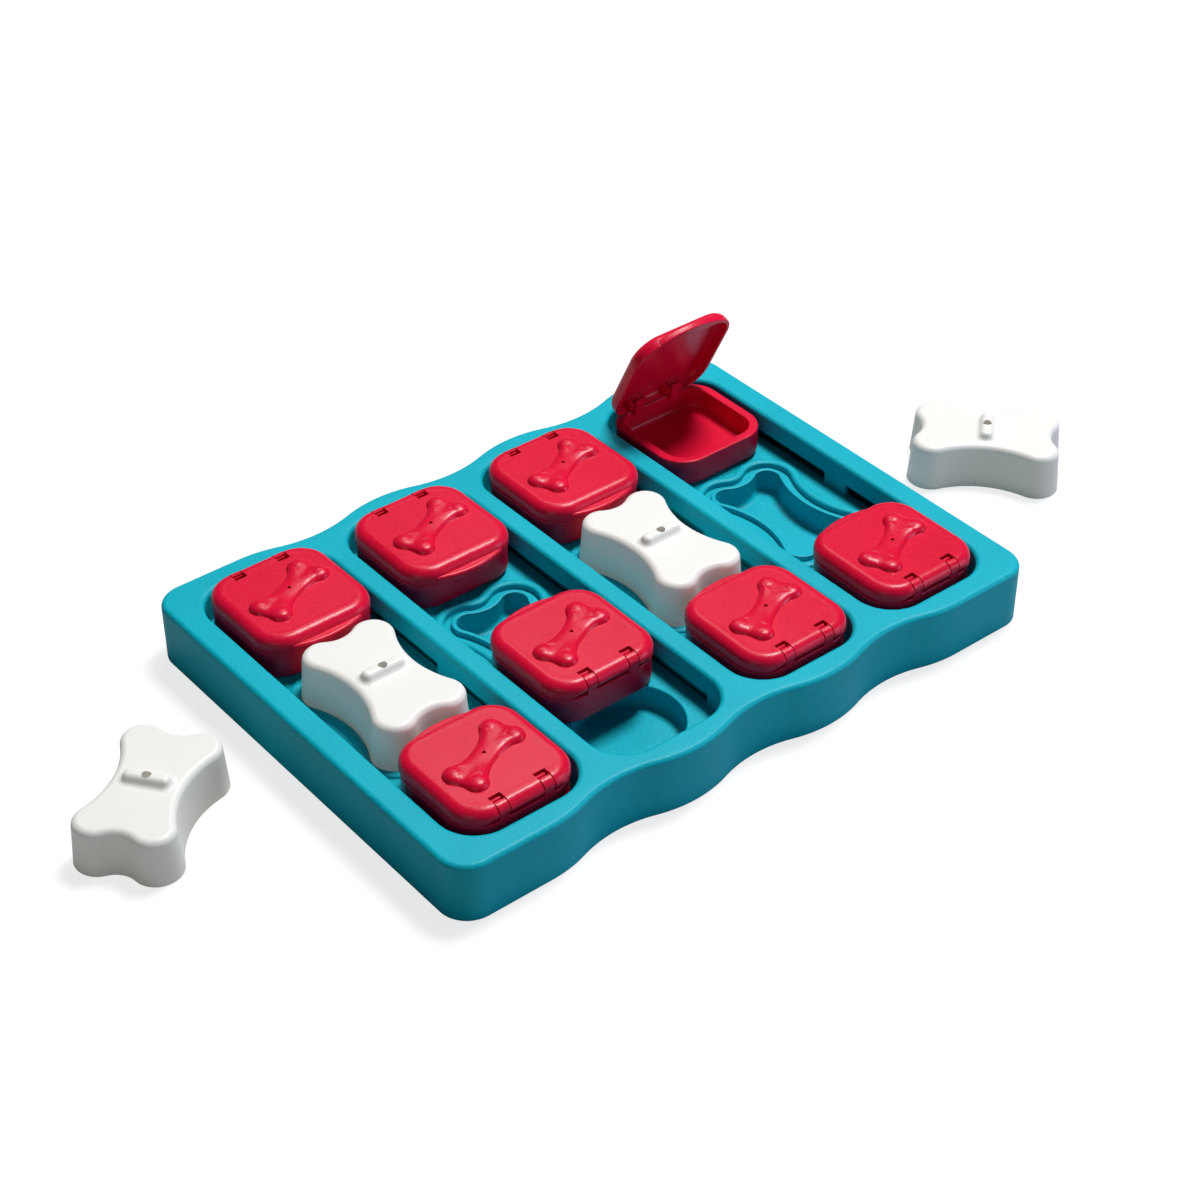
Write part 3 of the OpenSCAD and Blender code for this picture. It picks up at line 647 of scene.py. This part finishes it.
bmesh.ops.recalc_face_normals(lid, faces=lid.faces)

# Two cheeks beside each window carry the pin's ends. The windows, cut later,
# trim them.
window_y = HINGE_Y - HINGE_IN - WINDOW_GAP
window_half = LUG_W / 2 + LUG_GAP
cheeks = bmesh.new()
for side in (-1, 1):
    for edge in (-1, 1):
        edge_x = side * LUG_X + edge * window_half
        across = sorted((edge_x - PAST * edge, edge_x + CHEEK_T * edge))
        low = (across[0], HINGE_Y - CHEEK_IN, LID_Z + CHEEK_UP)
        block(cheeks, low, (across[1], HINGE_Y + CHEEK_OUT, LID_TOP - LID_TOP_T + RIB_ROOT))
lid = carve(lid, cheeks, "UNION")

thumb = bmesh.new()
thumb_turn = math.degrees(math.asin(THUMB_W / 2 / THUMB_R))
thumb_y = THUMB_R - LID_W / 2 - THUMB_OUT
chord = THUMB_ROOT - LID_W / 2
thumb_plan = [
    (0, thumb_y, THUMB_R, 270 - thumb_turn, 270 + thumb_turn, 1),
    (THUMB_W / 2 - THUMB_CORNER, chord, THUMB_CORNER, 0, 90, 1),
    (THUMB_CORNER - THUMB_W / 2, chord, THUMB_CORNER, 90, 180, 1),
]
under, over = loft(thumb, thumb_plan, [
    *fillet(-THUMB_UNDER, LID_Z + THUMB_UNDER, THUMB_UNDER, -90, 0, 3),
    *fillet(-THUMB_OVER, LID_Z + THUMB_H - THUMB_OVER, THUMB_OVER, 0, 90, 5),
], 1.0)
cap(thumb, under)
cap(thumb, over)
lid = carve(lid, thumb, "UNION")

# The raised bone is a fine grid lifted to its height, closed underneath, and
# joined to the lid. Outside the bone the grid lies below the lid's top.
bone_patch = bmesh.new()
bmesh.ops.create_grid(bone_patch, x_segments=120, y_segments=60, size=0.5)
bmesh.ops.scale(bone_patch, vec=(FIELD_L, FIELD_W, 1), verts=bone_patch.verts)
for vert in bone_patch.verts:
    vert.co.z = max(raised_bone(vert.co.x, vert.co.y), -FIELD_EDGE)
rim = [edge for edge in bone_patch.edges if edge.is_boundary]
pulled = bmesh.ops.extrude_edge_only(bone_patch, edges=rim)["geom"]
for item in pulled:
    if isinstance(item, bmesh.types.BMVert):
        item.co.z = -FIELD_SINK
cap(bone_patch, [item for item in pulled if isinstance(item, bmesh.types.BMEdge)])
on_lid = Matrix.Translation((0, 0, LID_TOP - DISH)) @ Matrix.Rotation(math.radians(RELIEF_TURN), 4, "Z")
bmesh.ops.transform(bone_patch, verts=bone_patch.verts, matrix=on_lid)
lid = carve(lid, bone_patch, "UNION")

# The lid's outer edge is rounded about the hinge below the pins, and then the
# two windows are cut and the pins put across them. The rounding ends just over
# the pins' middle, so that no cut lies in the plane of a pin's corners.
under_edge = bmesh.new()
block(under_edge, (-LID_W, HINGE_Y, LID_Z - PAST), (LID_W, LID_W, HINGE_Z + PIN_CLEAR))
kept_round = bmesh.new()
rod(kept_round, -LID_W - PAST, LID_W + PAST, HINGE_Y, HINGE_Z, HINGE_Z - LID_Z - PIN_PLAY, 64)
lid = carve(lid, carve(under_edge, kept_round))
windows = bmesh.new()
pins = bmesh.new()
for side in (-1, 1):
    low_x, high_x = side * LUG_X - window_half, side * LUG_X + window_half
    block(windows, (low_x, window_y, LID_Z - PAST), (high_x, LID_W, LID_TOP + PAST))
    rod(pins, low_x - ROOT, high_x + ROOT, HINGE_Y, HINGE_Z, PIN_R, 28)
lid = carve(lid, windows)
lid = carve(lid, pins, "UNION")


DRILL_L = 40


def drill(bm, r, z, sides):
    """The shape with an upright hole of radius r in its middle, through z."""
    drill_bit = bmesh.new()
    bmesh.ops.create_cone(
        drill_bit, cap_ends=True, segments=sides, radius1=r, radius2=r, depth=DRILL_L,
        matrix=Matrix.Translation((0, 0, z)),
    )
    return carve(bm, drill_bit)


lid = drill(lid, PINHOLE_R, LID_TOP, 20)

for (track, far), slid in PLACES.items():
    copy = lid.copy()
    if (track, far) == (4, True):
        hinge = Matrix.Translation((0, HINGE_Y, HINGE_Z))
        swing = hinge @ Matrix.Rotation(math.radians(-OPEN_ANGLE), 4, "X") @ hinge.inverted()
        bmesh.ops.transform(copy, verts=copy.verts, matrix=swing)
    bmesh.ops.transform(copy, verts=copy.verts, matrix=in_track(track, far, slid))
    place = f"{track}_{'far' if far else 'near'}"
    new_piece(f"flip_lid_{place}", copy, f"lid_{place}", [f"lid_{place}"], red_abs)
lid.free()


# Bones: four hollow mouldings in white polypropylene that cover the middle
# pockets. Each has a foot that drops into the groove, and across its top a
# grip rib with a hole in it.

BONE_H, BONE_EDGE, BONE_DRAFT, BONE_WALL, BONE_BOWL = 23, 3.2, 1.5, 2.4, 2.6
BONE_Z = 13.7
RIB_H, RIB_L, RIB_FOOT, RIB_CORNER, RIB_HOLE = 3.8, 22, 7.4, 3.2, 2.1
HOLLOW_HALF, HOLLOW_IN, RIB_TOP_T = 1.7, 2.6, 1.7
BONE_PLACES = {
    1: (TRACKS[1], 0, BONE_Z, 0),
    2: (-223, 17, 0, -53),
    3: (TRACKS[3], 0, BONE_Z, 0),
    4: (233, -19, 0, 42),
}

# White polypropylene: nearly smooth, with a faint painted glow, a warm emission
# that stands in for the light a thin wall lets through, so that its sides stay
# warm and light in their own shade.
white_pp = plastic("white_moulded_pp", "#dedcd9", "#e0dfdb", "#e4e3e0", 0.45, 0.91, 0.03, painted_glow=0.1)

bone = bmesh.new()
crown, inner_crown = loft(bone, bone_outline(0, 0), [
    *fillet(-BONE_EDGE, BONE_H - BONE_EDGE, BONE_EDGE, 90, 0, 8),
    (BONE_DRAFT - 0.1, 0.4),
    (BONE_DRAFT - 0.5, 0),
    (BONE_DRAFT - BONE_WALL, 0),
    *fillet(-BONE_WALL - BONE_BOWL, BONE_H - BONE_WALL - BONE_BOWL, BONE_BOWL, 0, 90, 4),
], 1.2)
cap(bone, crown)
cap(bone, inner_crown)
bmesh.ops.recalc_face_normals(bone, faces=bone.faces)
# The grip rib grows out of the top with a soft root, and is hollow below.
grip = bmesh.new()
low, high = loft(grip, round_rectangle(0, 0, RIB_L, RIB_FOOT, RIB_CORNER), [
    (1.8, BONE_H - 0.3),
    (1.8, BONE_H + 0.02),
    (1.1, BONE_H + 0.14),
    (0.5, BONE_H + 0.42),
    (0, BONE_H + 0.85),
    (-0.5, BONE_H + 1.5),
    *fillet(-2.9, BONE_H + RIB_H - 2.3, 2.3, 15, 90, 6),
], 1.0)
cap(grip, low)
cap(grip, high)
bone = carve(bone, grip, "UNION")
hollow = bmesh.new()
hollow_x = RIB_L / 2 - HOLLOW_IN
low = (-hollow_x, -HOLLOW_HALF, BONE_H - BONE_WALL - PAST)
block(hollow, low, (hollow_x, HOLLOW_HALF, BONE_H + RIB_H - RIB_TOP_T))
bone = carve(bone, hollow)
bone = drill(bone, RIB_HOLE, BONE_H, 28)
for track, (x, y, z, turn) in BONE_PLACES.items():
    copy = bone.copy()
    place = Matrix.Translation((x, y, z)) @ Matrix.Rotation(math.radians(turn), 4, "Z")
    bmesh.ops.transform(copy, verts=copy.verts, matrix=place)
    new_piece(f"bone_block_{track}", copy, f"bone_{track}", [f"bone_{track}"], white_pp)
bone.free()
